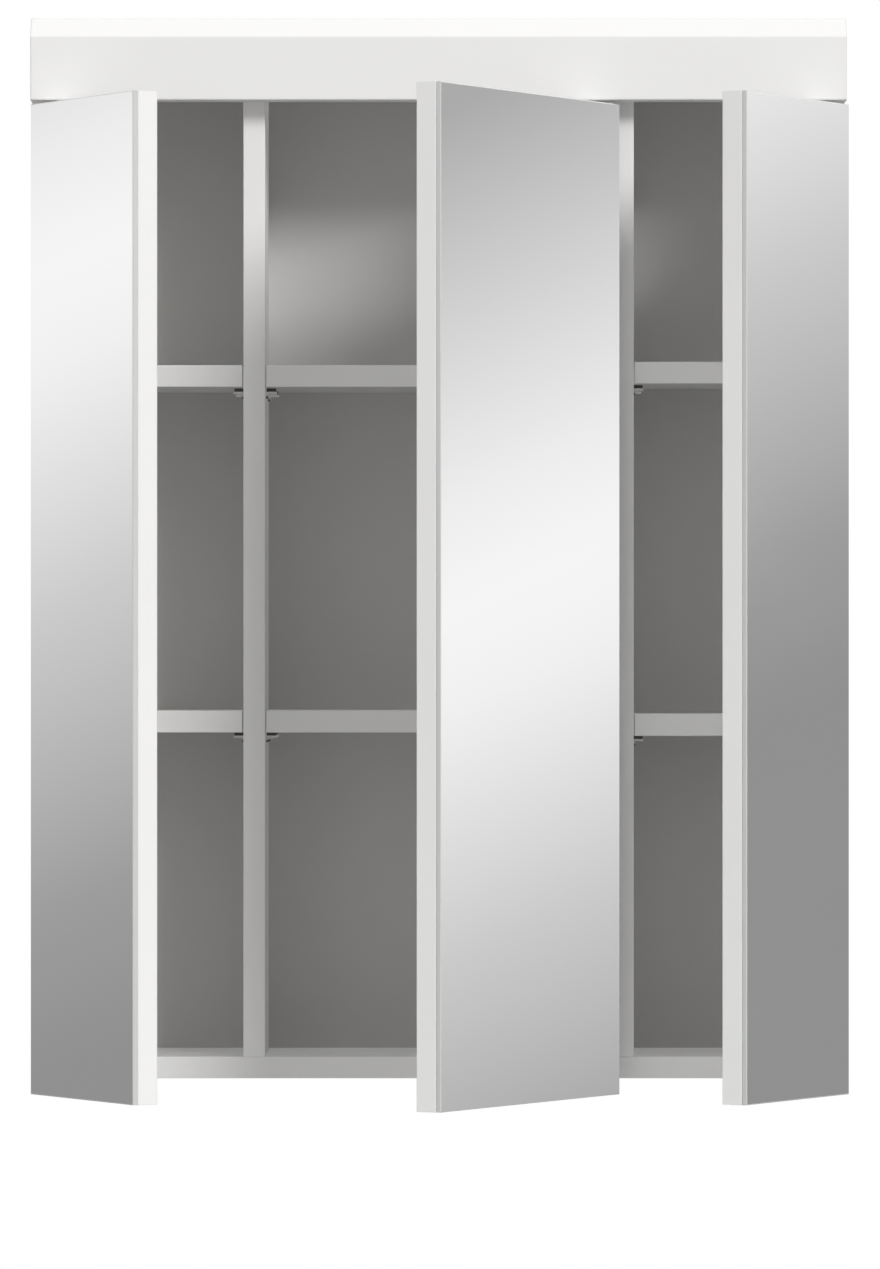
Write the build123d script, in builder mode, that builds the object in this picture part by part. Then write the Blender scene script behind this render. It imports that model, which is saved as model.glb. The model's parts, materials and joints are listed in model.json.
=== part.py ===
from build123d import *
from collections import namedtuple
from math import cos, radians, sin
import os

# Wall cabinet with three compartments, a cornice board and three mirror doors.
# Millimetres, +Z up, the front faces -Y and the wall is the plane y = 0.
# The origin lies on the wall, midway between the two wall screw holes.
# The doors are modelled standing open, as they hang at rest.

# Carcass sizes
cabinet_width = 600.0
cabinet_height = 781.0
carcass_depth = 148.0
board = 16.0
side_clear_width = 140.0
edge_round = 0.6
screws_below_top = 41.0

# Back and wall fixing
back_thickness = 3.0
groove_depth = 5.0
groove_play = 0.1
back_edge_play = 0.5
rail_thickness = 16.0
hanging_rail_height = 70.0
lower_rail_height = 50.0
wall_hole_spacing = 460.0
wall_hole_diameter = 8.0

# Shelves and what they rest on
shelf_setback = 1.0
shelf_end_gap = 1.0
shelf_back_gap = 0.5
right_shelf_spread = 2.5
support_front_inset = 37.0
support_pitch = 64.0
support_reach = 8.0
support_width = 12.0
support_thickness = 1.8
support_pin_diameter = 5.0
support_pin_length = 7.0
pad_thickness = 2.5
pad_inset = 0.5

# Cornice board
cornice_height = 61.0
bevel_height = 14.5
bevel_depth = 14.0

# Doors
mirror_thickness = 4.0
mirror_arris = 0.4
door_standoff = 2.0
left_door_inset = 1.0
right_door_inset = -0.9
left_door_overlap = 7.0
middle_free_overlap = 3.5
middle_hinge_overlap = 4.1
right_door_overlap = 5.1
cornice_door_gap = 2.6
door_drop = 11.0
rest_angle = 60.0
bumper_diameter = 5.0
bumper_height = 1.7
bumper_from_free_edge = 12.0
bumper_from_hinge_edge = 60.0

# Swing axis of every door, from the door's outer edge and its front face
axis_inset = 7.0
axis_depth = 5.5

# Concealed hinges: the cup in the door
hinge_from_door_end = 100.0
cup_diameter = 35.0
cup_depth = 13.0
cup_edge_distance = 3.0
cup_floor = 0.5
cup_wall = 1.0
cup_rim = 1.5
cup_rim_thickness = 1.0
cup_ear_length = 60.0
cup_ear_width = 14.0
cup_screw_offset = 9.5
cup_screw_spacing = 48.0
cup_screw_length = 12.0
cup_screw_diameter = 3.5
cup_screw_head = 7.0

# Concealed hinges: the curved link between the arm and the cup
link_pivot_inset = 29.6
link_pivot_depth = 7.6
link_length = 20.0
link_sagitta = 3.5
link_thickness = 2.0
link_width = 6.0
link_eye_diameter = 6.0
link_angle_closed = -170.4
link_ratio = 0.247
link_side_play = 0.3
pin_diameter = 2.6
pin_play = 0.05

# Concealed hinges: the arm and its mounting plate on the carcass
plate_from_front = 37.0
plate_length = 52.0
plate_rib_width = 10.0
plate_rib_height = 7.2
wing_length = 46.0
wing_width = 13.0
wing_thickness = 2.0
plate_screw_spacing = 32.0
plate_screw_length = 13.0
plate_screw_diameter = 4.5
plate_screw_head = 8.0
arm_length = 56.0
arm_wall = 1.5
arm_play = 0.3
fork_cheek = 2.0
fork_width = link_width + 2 * (link_side_play + fork_cheek)
nose_radius = 3.3
arm_screw_spacing = 26.0
arm_screw_head = 6.5
arm_screw_head_height = 1.6
arm_screw_diameter = 3.5

# Carcass fasteners
dowel_diameter = 8.0
dowel_length = 30.0
dowel_in_face = 10.0
dowel_in_cornice = 8.0
dowel_from_front = 24.0
dowel_pitch = 80.0
cam_diameter = 15.0
cam_height = 12.5
cam_from_end = 24.0
cam_from_front = 44.0
cam_pitch = 40.0
cam_bolt_diameter = 6.0
cam_bolt_in_side = 11.0
partition_screw_diameter = 4.0
partition_screw_head = 8.0
partition_screw_length = 45.0
partition_screw_from_front = 64.0
fit = 0.05

# Levels and places worked out from the sizes above
half_width = cabinet_width / 2
z_top = screws_below_top
z_bottom = z_top - cabinet_height
z_ceiling = z_top - board
z_floor = z_bottom + board
inner_half_width = half_width - board
front_y = -carcass_depth
back_front_y = -(rail_thickness + back_thickness)
clear_half = half_width - 2 * board - side_clear_width
partition_x = clear_half + board / 2
level_height = (z_ceiling - z_floor - 2 * board) / 3
cornice_thickness = door_standoff + board + mirror_thickness
door_top = z_top - cornice_height - cornice_door_gap
door_bottom = z_bottom - door_drop
door_height = door_top - door_bottom
partition_outer = clear_half + board
left_door_edge = -half_width + left_door_inset
right_door_edge = half_width - right_door_inset
middle_door_edge = clear_half + middle_hinge_overlap
axis_v = axis_depth - cornice_thickness
cup_centre = cup_edge_distance + cup_diameter / 2
hinge_heights = [door_top - hinge_from_door_end, door_bottom + hinge_from_door_end]
dowel_ys = [front_y + dowel_from_front, front_y + dowel_from_front + dowel_pitch]
cam_ys = [front_y + cam_from_front, front_y + cam_from_front + cam_pitch]
partition_screw_y = front_y + partition_screw_from_front

# A door is named by the hand of its hinge edge: +1 opens from the left edge, -1 from the right.
# carrier_inset is how far the board that carries its hinges lies inside the door's edge.
Door = namedtuple("Door", "name hand edge_x width carrier_inset")
doors = [
    Door(
        name="left",
        hand=1,
        edge_x=left_door_edge,
        width=left_door_overlap - partition_outer - left_door_edge,
        carrier_inset=-inner_half_width - left_door_edge,
    ),
    Door(
        name="middle",
        hand=-1,
        edge_x=middle_door_edge,
        width=middle_door_edge + clear_half + middle_free_overlap,
        carrier_inset=middle_hinge_overlap,
    ),
    Door(
        name="right",
        hand=-1,
        edge_x=right_door_edge,
        width=right_door_edge - partition_outer + right_door_overlap,
        carrier_inset=right_door_edge - inner_half_width,
    ),
]

os.makedirs("parts", exist_ok=True)


def write(piece, node):
    """Label one finished sub-part and write it to its own STEP file."""
    piece.part.label = node
    export_step(piece.part, f"parts/{node}.step")


def slab(x_range, y_range, z_range):
    """Add a rectangular board between pairs of limits along X, Y and Z."""
    width = x_range[1] - x_range[0]
    depth = y_range[1] - y_range[0]
    with BuildSketch(Plane.XY.offset(z_range[0])) as outline:
        with Locations(((x_range[0] + x_range[1]) / 2, (y_range[0] + y_range[1]) / 2)):
            Rectangle(width, depth)
    extrude(outline.sketch, amount=z_range[1] - z_range[0])


def bore(points, direction, diameter, depth):
    """Cut blind holes that start at the points and run along the direction."""
    with BuildSketch(*[Plane(origin=point, z_dir=direction) for point in points]) as circles:
        Circle(diameter / 2 + fit)
    extrude(circles.sketch, amount=depth, mode=Mode.SUBTRACT)


def rod(points, direction, diameter, length):
    """Add round rods that start at the points and run along the direction."""
    with BuildSketch(*[Plane(origin=point, z_dir=direction) for point in points]) as circles:
        Circle(diameter / 2)
    extrude(circles.sketch, amount=length)


def cross_recess(points, outward, length, depth):
    """Cut a driver's cross into faces at the points that face outward."""
    with Locations(*[Plane(origin=point, z_dir=outward) for point in points]):
        top = (Align.CENTER, Align.CENTER, Align.MAX)
        Box(length, length / 5, depth, align=top, mode=Mode.SUBTRACT)
        Box(length / 5, length, depth, align=top, mode=Mode.SUBTRACT)


def countersunk_screw(points, outward, head, shank, length):
    """Add flat-head screws whose heads lie flush at the points and face outward."""
    head_height = (head - shank) / 2
    with Locations(*[Plane(origin=point, z_dir=outward) for point in points]):
        top = (Align.CENTER, Align.CENTER, Align.MAX)
        Cylinder(shank / 2, length, align=top)
        Cone(shank / 2, head / 2, head_height, align=top)
    cross_recess(points, outward, 0.55 * head, 0.12 * head)


def countersunk_hole(points, outward, head, shank, length):
    """Cut the seats of the flat-head screws, with the fit clearance all round."""
    head_height = (head - shank) / 2
    with Locations(*[Plane(origin=point, z_dir=outward) for point in points]):
        top = (Align.CENTER, Align.CENTER, Align.MAX)
        Cylinder(shank / 2 + fit, length + fit, align=top, mode=Mode.SUBTRACT)
        Cone(shank / 2 + fit, head / 2 + fit, head_height, align=top, mode=Mode.SUBTRACT)


def end_dowel_points(x, z):
    """Places of the dowels along one end of a board, at the given X and height."""
    return [(x, y, z) for y in dowel_ys]


def end_cam_points(x, z):
    """Places of the cam bolts along one end of a board, at the given X and height."""
    return [(x, y, z) for y in cam_ys]


# The horizontal boards' end joints, and the rails' end joints
panel_mid_heights = [z_ceiling + board / 2, z_floor - board / 2]
hanging_rail_bottom = z_ceiling - hanging_rail_height
lower_rail_top = z_floor + lower_rail_height
rail_y = -rail_thickness / 2
rail_dowel_heights = [
    z_ceiling - hanging_rail_height / 4,
    z_ceiling - 3 * hanging_rail_height / 4,
    z_floor + lower_rail_height / 4,
    z_floor + 3 * lower_rail_height / 4,
]

# The cornice's dowels: four into the top board's front edge, one into each side panel's
cornice_top_dowel_xs = [-1.5 * partition_x, -partition_x / 2, partition_x / 2, 1.5 * partition_x]
cornice_side_dowel_z = z_top - cornice_height * 2 / 3
cornice_dowel_points = [(x, front_y, z_top - board / 2) for x in cornice_top_dowel_xs]
cornice_dowel_points += [(side * (half_width - board / 2), front_y, cornice_side_dowel_z) for side in (-1, 1)]

# Shelves: name, X limits and height of the underside
Shelf = namedtuple("Shelf", "name x_low x_high z")
upper_z = z_floor + 2 * level_height + board
lower_z = z_floor + level_height
shelves = [
    Shelf("left_upper", -inner_half_width, -partition_outer, upper_z),
    Shelf("left_lower", -inner_half_width, -partition_outer, lower_z),
    Shelf("middle_upper", -clear_half, clear_half, upper_z),
    Shelf("middle_lower", -clear_half, clear_half, lower_z),
    Shelf("right_upper", partition_outer, inner_half_width, upper_z + right_shelf_spread),
    Shelf("right_lower", partition_outer, inner_half_width, lower_z - right_shelf_spread),
]
support_ys = [front_y + support_front_inset, front_y + support_front_inset + support_pitch]


def support_points(shelf):
    """Where each support meets a wall: the point under the pad, and the way to the shelf."""
    z = shelf.z - pad_thickness
    low = [((shelf.x_low, y, z), 1) for y in support_ys]
    high = [((shelf.x_high, y, z), -1) for y in support_ys]
    return low + high


def support_bores(wall_x, toward_shelf):
    """Cut the support pins' holes in a wall's face, for the shelves on that side of it."""
    for shelf in shelves:
        for (x, y, z), way in support_points(shelf):
            if abs(x - wall_x) < board / 2 and way == toward_shelf:
                centre = (x, y, z - support_pin_diameter / 2)
                bore([centre], (-way, 0, 0), support_pin_diameter, support_pin_length + fit)


# Hinge geometry. u runs from a door's outer edge along the door, v from the carcass
# front plane to the back, both for the closed door.
def directions(door, angle):
    """Unit vectors along the door and to its back, with the door open by the angle."""
    along = Vector(door.hand * cos(radians(angle)), -sin(radians(angle)), 0)
    to_back = Vector(door.hand * sin(radians(angle)), cos(radians(angle)), 0)
    return along, to_back


def swing_axis(door):
    """A point of the door's swing axis, at height zero."""
    return Vector(door.edge_x + door.hand * axis_inset, front_y + axis_v, 0)


def hinge_point(door, angle, u, v, z):
    """The place of the point u, v at height z, on the door opened by the angle."""
    along, to_back = directions(door, angle)
    return swing_axis(door) + along * (u - axis_inset) + to_back * (v - axis_v) + Vector(0, 0, z)


def flat_plane(door, angle, z):
    """A level plane whose X runs along the door; its origin is on the swing axis."""
    along, _ = directions(door, angle)
    return Plane(origin=swing_axis(door) + Vector(0, 0, z), x_dir=along, z_dir=(0, 0, 1))


def flat(door, u, v):
    """The point u, v in the coordinates of the door's level plane."""
    return (u - axis_inset, door.hand * (v - axis_v))


def face_plane(door, angle, u, v, z):
    """A plane facing the back at the point u, v, with its X along the door."""
    along, to_back = directions(door, angle)
    return Plane(origin=hinge_point(door, angle, u, v, z), x_dir=along, z_dir=to_back)


def plate_screw_points(door):
    """Places of the plate screws on the face of the board that carries the hinges."""
    points = []
    for z in hinge_heights:
        for side in (-1, 1):
            height = z + side * plate_screw_spacing / 2
            points.append(hinge_point(door, 0, door.carrier_inset, plate_from_front, height))
    return points


def plate_screw_bores(door):
    """Cut the plate screws' holes in the board that carries the door's hinges."""
    bore(plate_screw_points(door), (-door.hand, 0, 0), plate_screw_diameter, plate_screw_length)


left_door, middle_door, right_door = doors


def side_panel(side, door):
    """Add one full-height side panel with its groove and all its holes; side is -1 or 1."""
    outer_x = side * half_width
    inner_x = side * inner_half_width
    slab(sorted((outer_x, inner_x)), (front_y, 0), (z_bottom, z_top))
    groove_bottom = side * (inner_half_width + groove_depth)
    groove_y = (back_front_y - groove_play, back_front_y + back_thickness + groove_play)
    with BuildSketch(Plane.XY.offset(z_bottom)) as groove:
        with Locations(((inner_x + groove_bottom) / 2, sum(groove_y) / 2)):
            Rectangle(groove_depth, groove_y[1] - groove_y[0])
    extrude(groove.sketch, amount=cabinet_height, mode=Mode.SUBTRACT)
    outward = (side, 0, 0)
    for z in panel_mid_heights:
        bore(end_dowel_points(inner_x, z), outward, dowel_diameter, dowel_in_face)
        bore(end_cam_points(inner_x, z), outward, cam_bolt_diameter, cam_bolt_in_side)
    bore([(inner_x, rail_y, z) for z in rail_dowel_heights], outward, dowel_diameter, dowel_in_face)
    cornice_dowel = [(side * (half_width - board / 2), front_y, cornice_side_dowel_z)]
    bore(cornice_dowel, (0, 1, 0), dowel_diameter, dowel_length - dowel_in_cornice)
    support_bores(inner_x, -side)
    plate_screw_bores(door)


with BuildPart() as side_panel_left:
    side_panel(-1, left_door)
    front_edges = side_panel_left.edges().filter_by(Axis.Z).group_by(Axis.Y)[0]
    fillet(front_edges, edge_round)
write(side_panel_left, "side_panel_left")

with BuildPart() as side_panel_right:
    side_panel(1, right_door)
    front_edges = side_panel_right.edges().filter_by(Axis.Z).group_by(Axis.Y)[0]
    fillet(front_edges, edge_round)
write(side_panel_right, "side_panel_right")


def level_panel(z_range, hidden):
    """Add the top or the bottom board; hidden is +1 where its outer face is on top, else -1."""
    slab((-inner_half_width, inner_half_width), (front_y, 0), z_range)
    z_mid = sum(z_range) / 2
    z_outer = z_range[1] if hidden > 0 else z_range[0]
    z_inner = z_range[0] if hidden > 0 else z_range[1]
    groove_y = (back_front_y - groove_play, back_front_y + back_thickness + groove_play)
    with BuildSketch(Plane(origin=(0, sum(groove_y) / 2, z_inner), z_dir=(0, 0, hidden))) as groove:
        Rectangle(2 * inner_half_width, groove_y[1] - groove_y[0])
    extrude(groove.sketch, amount=groove_depth, mode=Mode.SUBTRACT)
    for side in (-1, 1):
        end_x = side * inner_half_width
        bore(end_dowel_points(end_x, z_mid), (-side, 0, 0), dowel_diameter, dowel_length - dowel_in_face)
        bore(end_cam_points(end_x, z_mid), (-side, 0, 0), cam_bolt_diameter, cam_from_end)
        cam_x = end_x - side * cam_from_end
        bore([(cam_x, y, z_outer) for y in cam_ys], (0, 0, -hidden), cam_diameter, cam_height)
        bore(end_dowel_points(side * partition_x, z_inner), (0, 0, hidden), dowel_diameter, dowel_in_face)
        screw_point = (side * partition_x, partition_screw_y, z_outer)
        countersunk_hole([screw_point], (0, 0, hidden), partition_screw_head, partition_screw_diameter, board)


with BuildPart() as top_panel:
    level_panel((z_ceiling, z_top), 1)
    top_dowel_points = [point for point in cornice_dowel_points if abs(point[0]) < inner_half_width]
    bore(top_dowel_points, (0, 1, 0), dowel_diameter, dowel_length - dowel_in_cornice)
write(top_panel, "top_panel")

with BuildPart() as bottom_panel:
    level_panel((z_bottom, z_floor), -1)
    front_edges = bottom_panel.edges().filter_by(Axis.X).group_by(Axis.Y)[0]
    fillet(front_edges, edge_round)
write(bottom_panel, "bottom_panel")


def partition(side):
    """Add one partition that stands between the bottom and the top board; side is -1 or 1."""
    low, high = sorted((side * clear_half, side * partition_outer))
    slab((low, high), (front_y, back_front_y - groove_play), (z_floor, z_ceiling))
    for z, way in ((z_floor, 1), (z_ceiling, -1)):
        bore(end_dowel_points(side * partition_x, z), (0, 0, way), dowel_diameter, dowel_length - dowel_in_face)
        screw_point = (side * partition_x, partition_screw_y, z)
        bore([screw_point], (0, 0, way), partition_screw_diameter, partition_screw_length - board + fit)
    support_bores(low, -1)
    support_bores(high, 1)


with BuildPart() as partition_left:
    partition(-1)
    front_edges = partition_left.edges().filter_by(Axis.Z).group_by(Axis.Y)[0]
    fillet(front_edges, edge_round)
write(partition_left, "partition_left")

with BuildPart() as partition_right:
    partition(1)
    plate_screw_bores(middle_door)
    front_edges = partition_right.edges().filter_by(Axis.Z).group_by(Axis.Y)[0]
    fillet(front_edges, edge_round)
write(partition_right, "partition_right")

with BuildPart() as cornice_board:
    with BuildSketch(Plane.YZ.offset(-half_width)):
        with BuildLine():
            Polyline(
                (front_y, z_top - cornice_height),
                (front_y - cornice_thickness, z_top - cornice_height),
                (front_y - cornice_thickness, z_top - bevel_height),
                (front_y - cornice_thickness + bevel_depth, z_top),
                (front_y, z_top),
                close=True,
            )
        make_face()
    extrude(amount=cabinet_width)
    bore(cornice_dowel_points, (0, -1, 0), dowel_diameter, dowel_in_cornice)
    front_edge = cornice_board.edges().filter_by(Axis.X).group_by(Axis.Y)[0].sort_by(Axis.Z)[0]
    fillet(front_edge, edge_round)
write(cornice_board, "cornice_board")

# Back panel, held in the grooves, and the two rails behind it
wall_hole_points = [(side * wall_hole_spacing / 2, 0, 0) for side in (-1, 1)]

with BuildPart() as back_panel:
    tongue = groove_depth - back_edge_play
    slab(
        (-inner_half_width - tongue, inner_half_width + tongue),
        (back_front_y, back_front_y + back_thickness),
        (z_floor - tongue, z_ceiling + tongue),
    )
    with BuildSketch(*[Plane(origin=point, z_dir=(0, -1, 0)) for point in wall_hole_points]):
        Circle(wall_hole_diameter / 2)
    extrude(amount=-back_front_y, mode=Mode.SUBTRACT)
write(back_panel, "back_panel")


def rail(z_range):
    """Add one rear rail between the side panels, with the dowel holes in its ends."""
    slab((-inner_half_width, inner_half_width), (-rail_thickness, 0), z_range)
    heights = [z for z in rail_dowel_heights if z_range[0] < z < z_range[1]]
    for side in (-1, 1):
        points = [(side * inner_half_width, rail_y, z) for z in heights]
        bore(points, (-side, 0, 0), dowel_diameter, dowel_length - dowel_in_face)


with BuildPart() as hanging_rail:
    rail((hanging_rail_bottom, z_ceiling))
    with BuildSketch(*[Plane(origin=point, z_dir=(0, -1, 0)) for point in wall_hole_points]):
        Circle(wall_hole_diameter / 2)
    extrude(amount=rail_thickness, mode=Mode.SUBTRACT)
write(hanging_rail, "hanging_rail")

with BuildPart() as lower_rail:
    rail((z_floor, lower_rail_top))
write(lower_rail, "lower_rail")

# The six loose shelves
for shelf in shelves:
    with BuildPart() as shelf_board:
        slab(
            (shelf.x_low + shelf_end_gap, shelf.x_high - shelf_end_gap),
            (front_y + shelf_setback, back_front_y - shelf_back_gap),
            (shelf.z, shelf.z + board),
        )
        front_edges = shelf_board.edges().filter_by(Axis.X).group_by(Axis.Y)[0]
        fillet(front_edges, edge_round)
    write(shelf_board, f"shelf_{shelf.name}")

# Shelf supports: a pin in the wall with a flat plate, and a soft pad on the plate
all_supports = [place for shelf in shelves for place in support_points(shelf)]

with BuildPart() as shelf_supports:
    with Locations(*[(x + way * support_reach / 2, y, z) for (x, y, z), way in all_supports]):
        low_align = (Align.CENTER, Align.CENTER, Align.MAX)
        Box(support_reach, support_width, support_thickness, align=low_align)
    for side in (-1, 1):
        pin_centres = [(x, y, z - support_pin_diameter / 2) for (x, y, z), way in all_supports if way == side]
        rod(pin_centres, (-side, 0, 0), support_pin_diameter, support_pin_length)
        rod(pin_centres, (side, 0, 0), support_pin_diameter, support_thickness)
write(shelf_supports, "shelf_supports")

with BuildPart() as shelf_pads:
    pad_centres = [(x + way * support_reach / 2, y, z + pad_thickness / 2) for (x, y, z), way in all_supports]
    with Locations(*pad_centres):
        Box(support_reach - 2 * pad_inset, support_width - 2 * pad_inset, pad_thickness)
write(shelf_pads, "shelf_pads")

# Dowels of every board joint
with BuildPart() as wood_dowels:
    for side in (-1, 1):
        inner_x = side * inner_half_width
        start_x = inner_x + side * dowel_in_face
        for z in panel_mid_heights:
            rod(end_dowel_points(start_x, z), (-side, 0, 0), dowel_diameter, dowel_length)
        rail_points = [(start_x, rail_y, z) for z in rail_dowel_heights]
        rod(rail_points, (-side, 0, 0), dowel_diameter, dowel_length)
        for z, way in ((z_floor, 1), (z_ceiling, -1)):
            points = end_dowel_points(side * partition_x, z - way * dowel_in_face)
            rod(points, (0, 0, way), dowel_diameter, dowel_length)
    cornice_starts = [(x, y - dowel_in_cornice, z) for x, y, z in cornice_dowel_points]
    rod(cornice_starts, (0, 1, 0), dowel_diameter, dowel_length)
write(wood_dowels, "wood_dowels")

# Cam locks that pull the side panels onto the top and bottom boards
with BuildPart() as cam_discs:
    for outer_z, way in ((z_top, 1), (z_bottom, -1)):
        for side in (-1, 1):
            cam_x = side * (inner_half_width - cam_from_end)
            cam_tops = [(cam_x, y, outer_z) for y in cam_ys]
            rod(cam_tops, (0, 0, -way), cam_diameter, cam_height)
            bolt_mouths = [(cam_x + side * cam_diameter, y, outer_z - way * board / 2) for y in cam_ys]
            bore(bolt_mouths, (-side, 0, 0), cam_bolt_diameter, 1.2 * cam_diameter)
            cross_recess(cam_tops, (0, 0, way), 0.5 * cam_diameter, 0.1 * cam_height)
write(cam_discs, "cam_discs")

with BuildPart() as cam_bolts:
    for side in (-1, 1):
        start_x = side * (inner_half_width + cam_bolt_in_side)
        for z in panel_mid_heights:
            length = cam_bolt_in_side + cam_from_end - cam_diameter / 5
            rod(end_cam_points(start_x, z), (-side, 0, 0), cam_bolt_diameter, length)
write(cam_bolts, "cam_bolts")

with BuildPart() as partition_screws:
    for side in (-1, 1):
        for z, way in ((z_top, 1), (z_bottom, -1)):
            countersunk_screw(
                [(side * partition_x, partition_screw_y, z)],
                (0, 0, way),
                partition_screw_head,
                partition_screw_diameter,
                partition_screw_length,
            )
write(partition_screws, "partition_screws")


def cup_screw_points(door, v):
    """Places of a door's cup screws, at the given v, with the door at rest."""
    points = []
    for z in hinge_heights:
        for side in (-1, 1):
            height = z + side * cup_screw_spacing / 2
            points.append(hinge_point(door, rest_angle, cup_centre + cup_screw_offset, v, height))
    return points


def door_leaf(door, v_range, edge_cut):
    """Add a full-size flat leaf of the door between two values of v, with its edges eased."""
    u_mid = door.width / 2
    v_mid = sum(v_range) / 2
    with BuildSketch(flat_plane(door, rest_angle, door_bottom)) as outline:
        with Locations(flat(door, u_mid, v_mid)):
            Rectangle(door.width, v_range[1] - v_range[0])
    leaf = extrude(outline.sketch, amount=door_height)
    front = leaf.faces().sort_by(Axis(hinge_point(door, rest_angle, 0, 0, 0), directions(door, rest_angle)[1]))
    chamfer(front[0].edges() + front[-1].edges(), edge_cut)


board_v = (-door_standoff - board, -door_standoff)
mirror_v = (board_v[0] - mirror_thickness, board_v[0])

for door in doors:
    to_back = directions(door, rest_angle)[1]
    back_v = board_v[1]

    with BuildPart() as door_board:
        door_leaf(door, board_v, edge_round)
        cup_points = [hinge_point(door, rest_angle, cup_centre, back_v, z) for z in hinge_heights]
        bore(cup_points, -to_back, cup_diameter, cup_depth)
        screw_seats = cup_screw_points(door, back_v + cup_rim_thickness)
        countersunk_hole(screw_seats, to_back, cup_screw_head, cup_screw_diameter, cup_screw_length)
    write(door_board, f"door_board_{door.name}")

    with BuildPart() as mirror_glass:
        door_leaf(door, mirror_v, mirror_arris)
    write(mirror_glass, f"mirror_{door.name}")

    with BuildPart() as hinge_cups:
        for z in hinge_heights:
            back_face = face_plane(door, rest_angle, cup_centre, back_v, z)
            with BuildSketch(back_face):
                Circle(cup_diameter / 2)
            extrude(amount=-cup_depth)
            with BuildSketch(back_face):
                Circle(cup_diameter / 2 + cup_rim)
                with Locations((cup_screw_offset, 0)):
                    RectangleRounded(cup_ear_width, cup_ear_length, 0.45 * cup_ear_width)
            extrude(amount=cup_rim_thickness)
            pocket_radius = cup_diameter / 2 - cup_wall
            link_slot = link_width + 2 * link_side_play
            nose_slot = fork_width + 4 * link_side_play
            slot_step = link_pivot_inset - cup_centre - 2 * cup_diameter / 5 - nose_radius
            with BuildSketch(back_face.offset(cup_rim_thickness)):
                Rectangle(cup_diameter, link_slot)
                with Locations((slot_step, 0)):
                    Rectangle(cup_diameter, nose_slot, align=(Align.MIN, Align.CENTER))
                Circle(pocket_radius, mode=Mode.INTERSECT)
            extrude(amount=-(cup_depth - cup_floor + cup_rim_thickness), mode=Mode.SUBTRACT)
        rim_points = cup_screw_points(door, back_v + cup_rim_thickness)
        countersunk_hole(rim_points, to_back, cup_screw_head, cup_screw_diameter, 2 * cup_rim_thickness)
    write(hinge_cups, f"hinge_cups_{door.name}")

    with BuildPart() as cup_screws:
        screw_points = cup_screw_points(door, back_v + cup_rim_thickness)
        countersunk_screw(screw_points, to_back, cup_screw_head, cup_screw_diameter, cup_screw_length)
    write(cup_screws, f"cup_screws_{door.name}")

    with BuildPart() as door_bumpers:
        bumper_us = (bumper_from_hinge_edge, door.width - bumper_from_free_edge)
        bumper_z = z_bottom + board / 2
        bumper_feet = [hinge_point(door, rest_angle, u, back_v, bumper_z) for u in bumper_us]
        rod(bumper_feet, to_back, bumper_diameter, bumper_height)
        outer_rims = door_bumpers.edges().filter_by(GeomType.CIRCLE)
        ends = outer_rims.sort_by(Axis(hinge_point(door, rest_angle, 0, 0, 0), to_back))
        fillet(ends[-2:], 0.6 * bumper_height)
    write(door_bumpers, f"door_bumpers_{door.name}")


def link_direction(angle):
    """Direction of the link in u and v when its door is open by the angle."""
    turn = radians(link_angle_closed + link_ratio * angle)
    return Vector(cos(turn), sin(turn))


pivot_uv = Vector(link_pivot_inset, -link_pivot_depth)

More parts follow.
